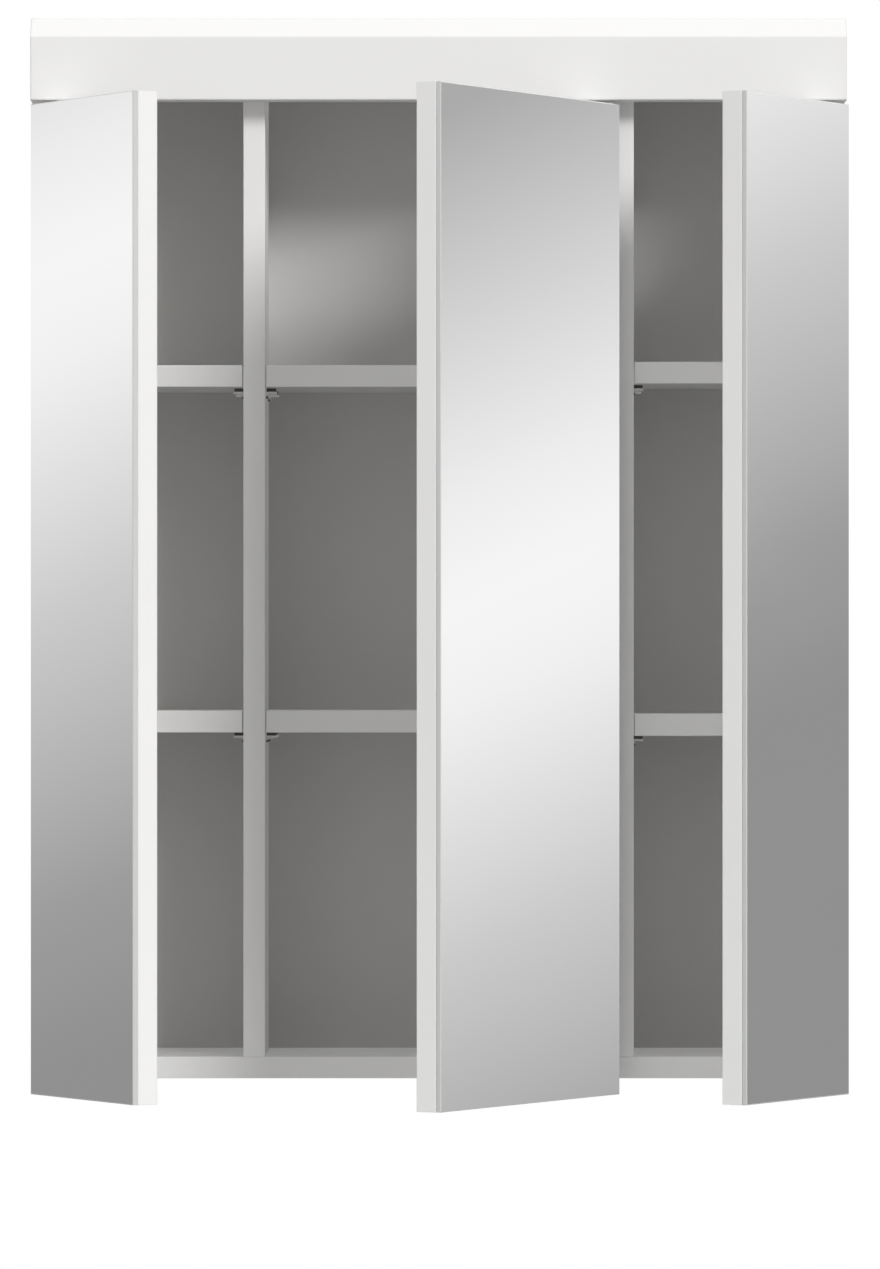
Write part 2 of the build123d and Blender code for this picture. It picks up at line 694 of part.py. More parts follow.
# The link's bent centre line, from its eye on the arm to its free end in the cup
for door in doors:
    x_way = link_direction(rest_angle)
    y_way = Vector(-x_way.Y, x_way.X)
    middle_uv = pivot_uv + x_way * (0.45 * link_length) + y_way * link_sagitta
    end_uv = pivot_uv + x_way * link_length
    with BuildPart() as hinge_links:
        for z in hinge_heights:
            with BuildSketch(flat_plane(door, 0, z - link_width / 2)):
                with BuildLine() as centre_line:
                    ThreePointArc(
                        flat(door, pivot_uv.X, pivot_uv.Y),
                        flat(door, middle_uv.X, middle_uv.Y),
                        flat(door, end_uv.X, end_uv.Y),
                    )
                SlotArc(centre_line.edges()[0], link_thickness)
                with Locations(flat(door, pivot_uv.X, pivot_uv.Y)):
                    Circle(link_eye_diameter / 2)
                    Circle(pin_diameter / 2 + pin_play, mode=Mode.SUBTRACT)
            extrude(amount=link_width)
    write(hinge_links, f"hinge_links_{door.name}")

    # Arm profile: a channel over the plate that cranks forward to the forked nose
    base = door.carrier_inset
    channel_low = base + wing_thickness + arm_play
    channel_high = base + plate_rib_height + arm_play + arm_wall
    channel_front = plate_from_front - arm_length / 2
    channel_width = plate_rib_width + 2 * (arm_play + arm_wall)
    slot_width = link_width + 2 * link_side_play
    with BuildPart() as hinge_arms:
        for z in hinge_heights:
            with BuildSketch(flat_plane(door, 0, z - channel_width / 2)):
                with Locations(flat(door, (channel_low + channel_high) / 2, plate_from_front)):
                    Rectangle(channel_high - channel_low, arm_length)
            extrude(amount=channel_width)
            inner_width = plate_rib_width + 2 * arm_play
            with BuildSketch(flat_plane(door, 0, z - inner_width / 2)):
                with Locations(flat(door, (channel_low + channel_high) / 2 - arm_wall, plate_from_front)):
                    Rectangle(channel_high - channel_low, arm_length)
            extrude(amount=inner_width, mode=Mode.SUBTRACT)
            with BuildSketch(flat_plane(door, 0, z - fork_width / 2)):
                with BuildLine():
                    Polyline(
                        flat(door, channel_low, channel_front + arm_length / 6),
                        flat(door, channel_low, channel_front - arm_length / 10),
                        flat(door, pivot_uv.X - nose_radius, pivot_uv.Y),
                        flat(door, pivot_uv.X + nose_radius, pivot_uv.Y),
                        flat(door, pivot_uv.X + nose_radius, channel_front - arm_length / 10),
                        flat(door, channel_high, channel_front + arm_length / 6),
                        close=True,
                    )
                make_face()
                with Locations(flat(door, pivot_uv.X, pivot_uv.Y)):
                    Circle(nose_radius)
            extrude(amount=fork_width)
            rib_room = z - plate_rib_width / 2 - arm_play
            with BuildSketch(flat_plane(door, 0, rib_room)):
                with Locations(flat(door, base + plate_rib_height / 2, plate_from_front)):
                    Rectangle(plate_rib_height + 2 * arm_play, plate_length + 2 * arm_play)
            extrude(amount=inner_width, mode=Mode.SUBTRACT)
            with BuildSketch(flat_plane(door, 0, z - slot_width / 2)):
                with Locations(flat(door, pivot_uv.X, pivot_uv.Y)):
                    Circle(link_eye_diameter)
            extrude(amount=slot_width, mode=Mode.SUBTRACT)
            with BuildSketch(flat_plane(door, 0, z - fork_width)):
                with Locations(flat(door, pivot_uv.X, pivot_uv.Y)):
                    Circle(pin_diameter / 2 + fit / 2)
            extrude(amount=2 * fork_width, mode=Mode.SUBTRACT)
            for way in (-1, 1):
                screw_v = plate_from_front + way * arm_screw_spacing / 2
                screw_top = hinge_point(door, 0, channel_high, screw_v, z)
                bore([screw_top], (-door.hand, 0, 0), arm_screw_diameter, 2 * arm_wall)
    write(hinge_arms, f"hinge_arms_{door.name}")

    with BuildPart() as hinge_plates:
        for z in hinge_heights:
            with BuildSketch(flat_plane(door, 0, z - plate_rib_width / 2)):
                with Locations(flat(door, base + plate_rib_height / 2, plate_from_front)):
                    Rectangle(plate_rib_height, plate_length)
            extrude(amount=plate_rib_width)
            with BuildSketch(flat_plane(door, 0, z - wing_length / 2)):
                with Locations(flat(door, base + wing_thickness / 2, plate_from_front)):
                    Rectangle(wing_thickness, wing_width)
            extrude(amount=wing_length)
            for way in (-1, 1):
                screw_v = plate_from_front + way * arm_screw_spacing / 2
                rib_top = hinge_point(door, 0, base + plate_rib_height, screw_v, z)
                bore([rib_top], (-door.hand, 0, 0), arm_screw_diameter, plate_rib_height)
        wing_tops = [point + Vector(door.hand * wing_thickness, 0, 0) for point in plate_screw_points(door)]
        countersunk_hole(
            wing_tops, (door.hand, 0, 0), plate_screw_head, plate_screw_diameter, 2 * wing_thickness
        )
    write(hinge_plates, f"hinge_plates_{door.name}")

# Pins and screws of all the hinges
with BuildPart() as hinge_pins:
    for door in doors:
        for z in hinge_heights:
            start = hinge_point(door, 0, pivot_uv.X, pivot_uv.Y, z - fork_width / 2)
            rod([start], (0, 0, 1), pin_diameter, fork_width)
write(hinge_pins, "hinge_pins")

with BuildPart() as plate_screws:
    for door in doors:
        wing_tops = [point + Vector(door.hand * wing_thickness, 0, 0) for point in plate_screw_points(door)]
        countersunk_screw(
            wing_tops, (door.hand, 0, 0), plate_screw_head, plate_screw_diameter, plate_screw_length
        )
write(plate_screws, "plate_screws")

with BuildPart() as arm_screws:
    for door in doors:
        arm_top = door.carrier_inset + plate_rib_height + arm_play + arm_wall
        screw_vs = [plate_from_front + way * arm_screw_spacing / 2 for way in (-1, 1)]
        tops = [hinge_point(door, 0, arm_top, v, z) for z in hinge_heights for v in screw_vs]
        outward = (door.hand, 0, 0)
        rod(tops, (-door.hand, 0, 0), arm_screw_diameter, arm_play + plate_rib_height)
        rod(tops, outward, arm_screw_head, arm_screw_head_height)
        head_tops = [top + Vector(door.hand * arm_screw_head_height, 0, 0) for top in tops]
        cross_recess(head_tops, outward, 0.6 * arm_screw_head, 0.5 * arm_screw_head_height)
write(arm_screws, "arm_screws")
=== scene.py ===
# %% [markdown]
# # A bathroom mirror cabinet
# The object is a white wall cabinet with three mirror doors that stand 60 degrees open.
# The boards, doors and hinges come from the CAD model, which stays exactly where it is.
# Blender adds what the eye needs: camera, light, surfaces and finely made small parts.

# %% Load the CAD model
import json
import math

import bmesh
import bpy
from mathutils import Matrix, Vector

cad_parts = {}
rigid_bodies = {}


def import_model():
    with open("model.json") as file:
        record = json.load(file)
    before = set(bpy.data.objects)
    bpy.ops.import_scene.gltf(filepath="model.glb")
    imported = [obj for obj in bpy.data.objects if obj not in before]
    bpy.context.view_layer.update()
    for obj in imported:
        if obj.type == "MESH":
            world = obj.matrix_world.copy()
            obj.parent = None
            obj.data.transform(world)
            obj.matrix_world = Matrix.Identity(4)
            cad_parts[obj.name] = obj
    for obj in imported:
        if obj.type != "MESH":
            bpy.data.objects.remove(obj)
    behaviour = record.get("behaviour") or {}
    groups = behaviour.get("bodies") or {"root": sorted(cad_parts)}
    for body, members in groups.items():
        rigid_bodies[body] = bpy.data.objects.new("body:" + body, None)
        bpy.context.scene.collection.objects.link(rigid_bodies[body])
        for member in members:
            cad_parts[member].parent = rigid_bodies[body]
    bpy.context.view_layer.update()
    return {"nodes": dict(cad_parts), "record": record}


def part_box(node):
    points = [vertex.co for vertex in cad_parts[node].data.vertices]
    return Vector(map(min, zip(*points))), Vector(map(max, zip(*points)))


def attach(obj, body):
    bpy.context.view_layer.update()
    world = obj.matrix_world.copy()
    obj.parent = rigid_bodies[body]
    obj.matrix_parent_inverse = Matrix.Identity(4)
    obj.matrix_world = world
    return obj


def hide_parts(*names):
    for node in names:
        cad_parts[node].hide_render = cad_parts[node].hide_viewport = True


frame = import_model()
nodes = frame["nodes"]
scene = bpy.context.scene
MM = 0.001

# %% [markdown]
# ## The camera
# The photograph looks straight at the cabinet through a long lens from almost six metres,
# so verticals stay vertical and the compartments show only a little of their depth. The
# horizon lies slightly below the picture's middle. A small upward shift of the lens gives
# that framing; tilting the camera would make the sides converge.

# %% Place the camera
PICTURE_HEIGHT_PX = 1269
FOCAL_PX = 7640
SENSOR_MM = 36
camera_data = bpy.data.cameras.new("camera")
camera_data.sensor_fit = "VERTICAL"
camera_data.sensor_height = SENSOR_MM
camera_data.lens = FOCAL_PX * SENSOR_MM / PICTURE_HEIGHT_PX
camera_data.shift_x = 0.00116
camera_data.shift_y = 0.0181
camera_data.clip_end = 60
camera = bpy.data.objects.new("camera", camera_data)
camera.location = (0, -5.783, -0.4296)
camera.rotation_euler = (math.radians(90), 0, 0)
scene.collection.objects.link(camera)
scene.camera = camera
scene.view_settings.view_transform = "Standard"
print("lens in mm:", round(camera_data.lens, 1))

# %% [markdown]
# ## Helpers for node trees
# Materials, the world and Geometry Nodes are all trees of nodes. A few short helpers keep
# the cells readable: they add a node, link any value to a socket, do a sum, step softly
# from one value to another and blend two tones.


# %% Helpers that add and link nodes
def add(tree, kind, **settings):
    """Add a node of that kind and set its properties."""
    node = tree.nodes.new(kind)
    for name, value in settings.items():
        setattr(node, name, value)
    return node


def feed(tree, socket, value):
    """Link an output to the socket, or set the socket's own value."""
    if isinstance(value, bpy.types.NodeSocket):
        tree.links.new(value, socket)
    else:
        socket.default_value = value


def calc(tree, operation, *values):
    """A Math node of the operation, fed with the values; returns its output."""
    node = add(tree, "ShaderNodeMath", operation=operation)
    for socket, value in zip(node.inputs, values):
        feed(tree, socket, value)
    return node.outputs[0]


def soft_step(tree, value, start, end):
    """Rise smoothly from 0 to 1 while the value goes from start to end."""
    node = add(tree, "ShaderNodeMapRange", interpolation_type="SMOOTHSTEP")
    feed(tree, node.inputs["Value"], value)
    node.inputs["From Min"].default_value = start
    node.inputs["From Max"].default_value = end
    return node.outputs["Result"]


def blend_tones(tree, factor, first, second):
    """The first tone where the factor is 0, the second where it is 1."""
    node = add(tree, "ShaderNodeMix", data_type="FLOAT")
    feed(tree, node.inputs[0], factor)
    feed(tree, node.inputs[2], first)
    feed(tree, node.inputs[3], second)
    return node.outputs[0]


# %% [markdown]
# ## Light
# In the photograph the fronts are bright, the left halves of the upper compartments catch
# a soft patch of light, and the deep insides are grey. That is one broad lamp from the
# upper right in front, plus a studio that is brighter at its sides than behind the camera.
# A Sun lamp with a wide angle gives the soft-edged patch; the world gives the rest.

# %% The lamp
LIGHT_WAY = Vector((-0.72, 1.0, -0.68))
lamp_data = bpy.data.lights.new("key_lamp", "SUN")
lamp_data.energy = 1.98
lamp_data.angle = math.radians(19)
lamp = bpy.data.objects.new("key_lamp", lamp_data)
lamp.rotation_euler = LIGHT_WAY.to_track_quat("-Z", "Y").to_euler()
scene.collection.objects.link(lamp)
print("lamp strength:", lamp_data.energy)

# %% [markdown]
# ## The studio around the object
# A mirror shows only what stands around it, so the studio itself has to be drawn. The
# mirrors in the photograph show a pale band that fades to grey below, at a slight slant.
# The world is therefore a function of direction. The camera sees plain white. Mirror rays
# see the slanted band, with a pale ceiling above it and a grey floor below it. All other
# rays see a plain soft box of light.

# %% The studio's directions
world = bpy.data.worlds.new("studio")
world.use_nodes = True
scene.world = world
sky = world.node_tree
sky.nodes.clear()
direction = add(sky, "ShaderNodeSeparateXYZ")
feed(sky, direction.inputs[0], add(sky, "ShaderNodeTexCoord").outputs["Generated"])
dir_x, dir_y, dir_z = direction.outputs
run = calc(sky, "SQRT", calc(sky, "SUBTRACT", 1.0, calc(sky, "MULTIPLY", dir_z, dir_z)))
rise = calc(sky, "DIVIDE", dir_z, calc(sky, "MAXIMUM", run, 0.01))

# %% The slanted band that the mirrors show
DOOR_TURN = math.radians(30)
SIDE_SLANT = 0.45
WIDEST_ACROSS = 0.06
LEFT_PEAK = -0.0737
PEAK_CHANGE_RIGHT = -0.0035
PEAK_CHANGE_MIDDLE = 0.0720
RAMP_STRETCH = 5.0
RAMP_ZERO = 0.4
BAND_TONES = [
    (-0.066, 0.43), (-0.014, 0.90), (0.000, 0.97), (0.013, 0.92),
    (0.046, 0.62), (0.084, 0.355), (0.105, 0.295),
]
right_turn = calc(sky, "ARCTAN2", dir_y, calc(sky, "ABSOLUTE", dir_x))
on_right = soft_step(sky, dir_x, -0.3, 0.3)
side_sign = calc(sky, "SUBTRACT", calc(sky, "MULTIPLY", on_right, 2.0), 1.0)
across = calc(sky, "MULTIPLY", side_sign, calc(sky, "SUBTRACT", right_turn, DOOR_TURN))
across = calc(sky, "MAXIMUM", calc(sky, "MINIMUM", across, WIDEST_ACROSS), -WIDEST_ACROSS)
height_below_horizon = calc(sky, "SUBTRACT", calc(sky, "MULTIPLY", across, SIDE_SLANT), rise)

# the band's brightest line has its own place in the directions of the middle mirror
middle_start = soft_step(sky, right_turn, math.radians(5), math.radians(27))
middle_end = soft_step(sky, right_turn, DOOR_TURN + 0.026, DOOR_TURN + 0.040)
in_middle = calc(sky, "SUBTRACT", middle_start, middle_end)
in_middle = calc(sky, "MULTIPLY", calc(sky, "MAXIMUM", in_middle, 0.0), on_right)
peak = calc(sky, "MULTIPLY_ADD", on_right, PEAK_CHANGE_RIGHT, LEFT_PEAK)
peak = calc(sky, "MULTIPLY_ADD", in_middle, PEAK_CHANGE_MIDDLE, peak)
along_band = calc(sky, "SUBTRACT", height_below_horizon, peak)

band = add(sky, "ShaderNodeValToRGB")
feed(sky, band.inputs["Fac"], calc(sky, "MULTIPLY_ADD", along_band, RAMP_STRETCH, RAMP_ZERO))
ramp = band.color_ramp
for number, (place, tone) in enumerate(BAND_TONES):
    stop = ramp.elements[number] if number < 2 else ramp.elements.new(1.0)
    stop.position = place * RAMP_STRETCH + RAMP_ZERO
    stop.color = (tone, tone, tone, 1)
print("tones in the band:", len(ramp.elements))

# %% Above the band a pale ceiling, below it a grey floor
CEILING_TONE = 0.95
GROUND_TONE = 0.12
high_up = soft_step(sky, rise, 0.25, 1.3)
low_down = soft_step(sky, calc(sky, "MULTIPLY", rise, -1.0), 0.14, 1.0)
surround = blend_tones(sky, high_up, band.outputs["Color"], CEILING_TONE)
surround = blend_tones(sky, low_down, surround, GROUND_TONE)
print("ceiling and floor tones ready")

# %% The soft box of light, and which ray sees what
FRONT_GLOW = 0.28
SIDE_GLOW = 0.65
LEFT_GLOW = 0.22
LOW_GLOW = 0.45
sideways = calc(sky, "SUBTRACT", 1.0, calc(sky, "ABSOLUTE", dir_y))
glow = calc(sky, "MULTIPLY_ADD", sideways, SIDE_GLOW, FRONT_GLOW)
glow = calc(sky, "MULTIPLY_ADD", dir_x, -LEFT_GLOW, glow)
height_share = soft_step(sky, dir_z, -0.7, 0.1)
above_floor = calc(sky, "MULTIPLY_ADD", height_share, 1.0 - LOW_GLOW, LOW_GLOW)
glow = calc(sky, "MULTIPLY", glow, above_floor)
rays = add(sky, "ShaderNodeLightPath").outputs
mirror_rays = calc(sky, "MAXIMUM", rays["Is Glossy Ray"], rays["Is Transmission Ray"])
tone = blend_tones(sky, mirror_rays, glow, surround)
seen = blend_tones(sky, rays["Is Camera Ray"], tone, 1.0)
background = add(sky, "ShaderNodeBackground")
feed(sky, background.inputs["Color"], seen)
feed(sky, add(sky, "ShaderNodeOutputWorld").inputs["Surface"], background.outputs[0])
print("world nodes:", len(sky.nodes))

# %% [markdown]
# ## The floor
# The cabinet hangs at head height, so its floor lies well below it, out of the picture.
# It is there for the other views, where it takes the object's soft shadow. From below it
# is see-through, so that a view from there still meets the cabinet.

# %% Lay the floor
FLOOR_Z = -1.95
FLOOR_HALF = 7
FLOOR_TONE = 0.55
FLOOR_LIFT = 0.50
floor_corners = [
    (x * FLOOR_HALF, y * FLOOR_HALF, FLOOR_Z) for x, y in ((-1, -1), (1, -1), (1, 1), (-1, 1))
]
floor_mesh = bpy.data.meshes.new("floor")
floor_mesh.from_pydata(floor_corners, [], [(0, 1, 2, 3)])
floor = bpy.data.objects.new("floor", floor_mesh)
scene.collection.objects.link(floor)
floor_paint = bpy.data.materials.new("pale_floor")
floor_paint.use_nodes = True
paint = floor_paint.node_tree
paint.nodes.clear()
matt = add(paint, "ShaderNodeBsdfDiffuse")
matt.inputs["Color"].default_value = (FLOOR_TONE, FLOOR_TONE, FLOOR_TONE, 1)
lift = add(paint, "ShaderNodeEmission")
camera_ray = add(paint, "ShaderNodeLightPath").outputs["Is Camera Ray"]
feed(paint, lift.inputs["Strength"], calc(paint, "MULTIPLY", camera_ray, FLOOR_LIFT))
both = add(paint, "ShaderNodeAddShader")
feed(paint, both.inputs[0], matt.outputs[0])
feed(paint, both.inputs[1], lift.outputs[0])
one_sided = add(paint, "ShaderNodeMixShader")
feed(paint, one_sided.inputs[0], add(paint, "ShaderNodeNewGeometry").outputs["Backfacing"])
feed(paint, one_sided.inputs[1], both.outputs[0])
feed(paint, one_sided.inputs[2], add(paint, "ShaderNodeBsdfTransparent").outputs[0])
feed(paint, add(paint, "ShaderNodeOutputMaterial").inputs["Surface"], one_sided.outputs[0])
floor_mesh.materials.append(floor_paint)
floor.visible_glossy = False
print("floor at", FLOOR_Z)

# %% [markdown]
# ## What every finish is made of
# No real surface is one flat colour. Each finish here has a tone that drifts a little over
# the piece and a fine relief, and most vary in roughness too. On the boards the Bevel node
# rounds edges in the shading alone, so a knife-sharp CAD edge still catches a thin light.


# %% Helpers for finishes
NOISE_LOW, NOISE_HIGH = 0.3, 0.7


def start_finish(name, roughness, metallic=0.0):
    """A new material with its shader; returns the material, its tree and the shader."""
    material = bpy.data.materials.new(name)
    material.use_nodes = True
    tree = material.node_tree
    tree.nodes.clear()
    shader = add(tree, "ShaderNodeBsdfPrincipled")
    shader.inputs["Roughness"].default_value = roughness
    shader.inputs["Metallic"].default_value = metallic
    feed(tree, add(tree, "ShaderNodeOutputMaterial").inputs["Surface"], shader.outputs[0])
    return material, tree, shader


def place_of(tree, stretch=(1, 1, 1)):
    """Where a point lies on the object, in metres, stretched along the axes."""
    mapping = add(tree, "ShaderNodeMapping")
    feed(tree, mapping.inputs["Vector"], add(tree, "ShaderNodeTexCoord").outputs["Object"])
    mapping.inputs["Scale"].default_value = stretch
    return mapping.outputs[0]


def noise(tree, per_metre, detail=3.0, stretch=(1, 1, 1)):
    """Cloudy values around 0.5, with that many clouds to the metre."""
    node = add(tree, "ShaderNodeTexNoise")
    feed(tree, node.inputs["Vector"], place_of(tree, stretch))
    node.inputs["Scale"].default_value = per_metre
    node.inputs["Detail"].default_value = detail
    return node.outputs["Fac"]


def between(tree, value, low, high):
    """Carry the span that noise mostly covers over to low and high."""
    node = add(tree, "ShaderNodeMapRange")
    feed(tree, node.inputs["Value"], value)
    node.inputs["From Min"].default_value = NOISE_LOW
    node.inputs["From Max"].default_value = NOISE_HIGH
    node.inputs["To Min"].default_value = low
    node.inputs["To Max"].default_value = high
    return node.outputs["Result"]


def blend_colours(tree, factor, first, second):
    """The first colour where the factor is 0, the second where it is 1."""
    node = add(tree, "ShaderNodeMix", data_type="RGBA")
    feed(tree, node.inputs[0], factor)
    feed(tree, node.inputs[6], first)
    feed(tree, node.inputs[7], second)
    return node.outputs[2]


def shade(colour, amount):
    """The same colour, lighter or darker."""
    return tuple(channel * amount for channel in colour) + (1.0,)


def mottled(tree, factor, colour, low, high):
    """The colour, times low where the factor is 0 and times high where it is 1."""
    return blend_colours(tree, factor, shade(colour, low), shade(colour, high))


def relief(tree, shader, height, depth_mm, edge_mm=0.0):
    """Give the shader a bump of that depth, over edges rounded by edge_mm."""
    bump = add(tree, "ShaderNodeBump")
    bump.inputs["Distance"].default_value = depth_mm * MM
    feed(tree, bump.inputs["Height"], height)
    if edge_mm:
        rounding = add(tree, "ShaderNodeBevel", samples=4)
        rounding.inputs["Radius"].default_value = edge_mm * MM
        feed(tree, bump.inputs["Normal"], rounding.outputs[0])
    feed(tree, shader.inputs["Normal"], bump.outputs[0])


def facing(tree, axis, limit):
    """1 on faces that look along the axis more than the limit, or less than a negative one."""
    split = add(tree, "ShaderNodeSeparateXYZ")
    feed(tree, split.inputs[0], add(tree, "ShaderNodeTexCoord").outputs["Normal"])
    return calc(tree, "GREATER_THAN" if limit > 0 else "LESS_THAN", split.outputs[axis], limit)


def beyond(tree, axis, limit_mm, outward=True):
    """1 where the point lies past the limit along the axis, outward meaning on either side."""
    split = add(tree, "ShaderNodeSeparateXYZ")
    feed(tree, split.inputs[0], add(tree, "ShaderNodeTexCoord").outputs["Object"])
    size = calc(tree, "ABSOLUTE", split.outputs[axis]) if outward else split.outputs[axis]
    return calc(tree, "GREATER_THAN", size, limit_mm * MM)


# %% [markdown]
# ## Melamine boards
# The boards are chipboard with a melamine paper pressed on. Faces inside the cabinet are
# painted light grey, as painted shade of the cabinet's insides; the edge bands and outer faces
# are white, and the rear edges, which nobody sees, are raw chipboard. One material tells these
# apart by where a point lies and where its face looks, so every board of the carcass can share it.

# %% Raw chipboard, and the melamine that covers it
WHITE = (0.875, 0.870, 0.860)
DOOR_WHITE = (0.900, 0.896, 0.886)
CORNICE_WHITE = (0.875, 0.870, 0.861)
# painted shade: the light grey that stands for the shade inside the cabinet
INSIDE_SHADE_GREY = (0.680, 0.674, 0.663)
CHIP_TAN = (0.56, 0.405, 0.25)
# just inside the carcass's outer faces: what lies beyond is white
SIDE_MM, BOTTOM_MM, TOP_MM = 299.5, 739.5, 40.5
FACES_FRONT, FACES_BACK = -0.3, 0.5


def chipboard(tree):
    """Colour of pressed wood chips, seen on an edge that has no band."""
    chips = add(tree, "ShaderNodeTexVoronoi")
    feed(tree, chips.inputs["Vector"], place_of(tree, (1, 1, 2.5)))
    chips.inputs["Scale"].default_value = 420
    grain = calc(tree, "MULTIPLY", chips.outputs["Distance"], 1.4)
    return mottled(tree, grain, CHIP_TAN, 1.15, 0.55)


def melamine(name, white, inside_shade_raw_rear, edge_mm=0.5):
    """Satin melamine; the flag gives grey inner faces as painted shade, and raw rear edges."""
    material, tree, shader = start_finish(name, 0.42)
    drift = noise(tree, 9, 2)
    tone = mottled(tree, drift, white, 0.985, 1.012)
    if inside_shade_raw_rear:
        # painted shade: faces inside the cabinet take the grey
        grey = mottled(tree, drift, INSIDE_SHADE_GREY, 0.975, 1.02)
        outside = calc(tree, "MAXIMUM", beyond(tree, 0, SIDE_MM), facing(tree, 1, FACES_FRONT))
        above = beyond(tree, 2, TOP_MM, outward=False)
        ends = calc(tree, "MAXIMUM", beyond(tree, 2, BOTTOM_MM), above)
        tone = blend_colours(tree, calc(tree, "MAXIMUM", outside, ends), grey, tone)
        tone = blend_colours(tree, facing(tree, 1, FACES_BACK), tone, chipboard(tree))
    feed(tree, shader.inputs["Base Color"], tone)
    feed(tree, shader.inputs["Roughness"], between(tree, noise(tree, 60, 4), 0.36, 0.50))
    relief(tree, shader, noise(tree, 1400, 2), 0.012, edge_mm)
    return material


carcass_melamine = melamine("carcass_melamine", WHITE, True)
door_melamine = melamine("door_melamine", DOOR_WHITE, False)
rail_melamine = melamine("rail_melamine", WHITE, True)
cornice_lacquer = melamine("cornice_lacquer", CORNICE_WHITE, False, edge_mm=2.0)
print("melamine finishes: 4")

# %% [markdown]
# ## The back panel
# A cabinet's back is thin hardboard. Its front takes the same grey as the inside, painted
# shade, while the rear shows the brown pressed fibre.

# %% Hardboard back
FIBRE_DARK, FIBRE_LIGHT = (0.16, 0.085, 0.040, 1), (0.34, 0.21, 0.115, 1)
back_board, tree, shader = start_finish("back_board", 0.45)
fibre = noise(tree, 900, 6, (1, 1, 0.35))
# painted shade: the back's front takes the inside grey
shaded_front = mottled(tree, noise(tree, 7, 2), INSIDE_SHADE_GREY, 0.97, 1.02)
brown = blend_colours(tree, fibre, FIBRE_DARK, FIBRE_LIGHT)
tone = blend_colours(tree, facing(tree, 1, FACES_BACK), shaded_front, brown)
feed(tree, shader.inputs["Base Color"], tone)
feed(tree, shader.inputs["Roughness"], between(tree, fibre, 0.40, 0.60))
relief(tree, shader, fibre, 0.02)
print("back board ready")

# %% [markdown]
# ## Metal, rubber and dowels
# The hinges are nickel plated: a warm, fairly even shine with faint drawing marks. Cams and
# long screws are zinc plated, cooler and more mottled. Faces of both that look down are
# darkened: painted shade. Pads are dark rubber whose near-black tone is also painted shade,
# the bumpers clear, and the hidden dowels plain beech.


# %% Plated steel
PLATING = 0.75
FACES_DOWN = -0.5
# painted shade: faces that look down are darkened towards this tone
UNDER_SHADE_SHARE, UNDER_SHADE_TONE = 0.8, 0.10


def plated(name, tint, low, high):
    """Plated steel with faint marks, painted shade below; low and high bound its roughness."""
    material, tree, shader = start_finish(name, low, PLATING)
    marks = noise(tree, 160, 3, (1, 1, 4))
    clouds = noise(tree, 55, 3)
    steel = mottled(tree, clouds, tint, 0.93, 1.05)
    # painted shade on faces that look down
    painted_under_shade = calc(tree, "MULTIPLY", facing(tree, 2, FACES_DOWN), UNDER_SHADE_SHARE)
    steel = blend_colours(tree, painted_under_shade, steel, shade(tint, UNDER_SHADE_TONE))
    feed(tree, shader.inputs["Base Color"], steel)
    feed(tree, shader.inputs["Roughness"], between(tree, marks, low, high))
    relief(tree, shader, marks, 0.0006)
    return material


nickel_steel = plated("nickel_steel", (0.56, 0.545, 0.515), 0.22, 0.36)
zinc_steel = plated("zinc_steel", (0.64, 0.67, 0.70), 0.30, 0.50)


# %% Rubber and beech
BEECH_DARK, BEECH_LIGHT = (0.48, 0.31, 0.17, 1), (0.70, 0.52, 0.33, 1)


def rubber(name, tint, roughness, clear):
    """Soft plastic with a fine matt grain; clear says how much light passes."""
    material, tree, shader = start_finish(name, roughness)
    grain = noise(tree, 2500, 2)
    feed(tree, shader.inputs["Base Color"], mottled(tree, grain, tint, 0.85, 1.1))
    shader.inputs["Transmission Weight"].default_value = clear
    relief(tree, shader, grain, 0.02)
    return material


# painted shade: the pads' near-black tone also stands for the shade in the gap under each shelf
soft_pad = rubber("soft_pad", (0.080, 0.080, 0.080), 0.75, 0.0)
clear_rubber = rubber("clear_rubber", (0.80, 0.81, 0.80), 0.25, 0.6)
beech, tree, shader = start_finish("beech", 0.6)
fibres = noise(tree, 300, 4, (0.1, 1, 1))
feed(tree, shader.inputs["Base Color"], blend_colours(tree, fibres, BEECH_DARK, BEECH_LIGHT))
relief(tree, shader, fibres, 0.05)
print("small finishes: 5")

# %% [markdown]
# ## Mirror glass
# A mirror is clear glass with silver behind it. Seen from the front it is almost only the
# silver, so a nearly smooth metal does it, with a trace of haze where hands have wiped it.
# The polished edge of the sheet is another matter: there the glass is pale grey with a
# trace of green, with a painted highlight that makes it nearly white where it faces up.

# %% Silver, edge and backing paint
SILVER_LOW, SILVER_HIGH = (0.935, 0.938, 0.936, 1), (0.950, 0.952, 0.950, 1)
EDGE_LOW, EDGE_HIGH = (0.610, 0.624, 0.612, 1), (0.650, 0.662, 0.650, 1)
# painted highlight: the edge's up-facing faces are made nearly white
EDGE_TOP_HIGHLIGHT = (0.88, 0.89, 0.88, 1)
PAINT_LOW, PAINT_HIGH = (0.20, 0.22, 0.24, 1), (0.26, 0.28, 0.30, 1)
FACES_UP = 0.1
silver, tree, shader = start_finish("mirror_silver", 0.02, 1.0)
wipe = noise(tree, 5, 4, (1, 1, 2.5))
feed(tree, shader.inputs["Base Color"], blend_colours(tree, wipe, SILVER_LOW, SILVER_HIGH))
feed(tree, shader.inputs["Roughness"], between(tree, wipe, 0.012, 0.035))
relief(tree, shader, wipe, 0.002)
glass_edge, tree, shader = start_finish("glass_edge", 0.12)
ripple = noise(tree, 130, 3, (1, 1, 0.2))
pale_green = blend_colours(tree, ripple, EDGE_LOW, EDGE_HIGH)
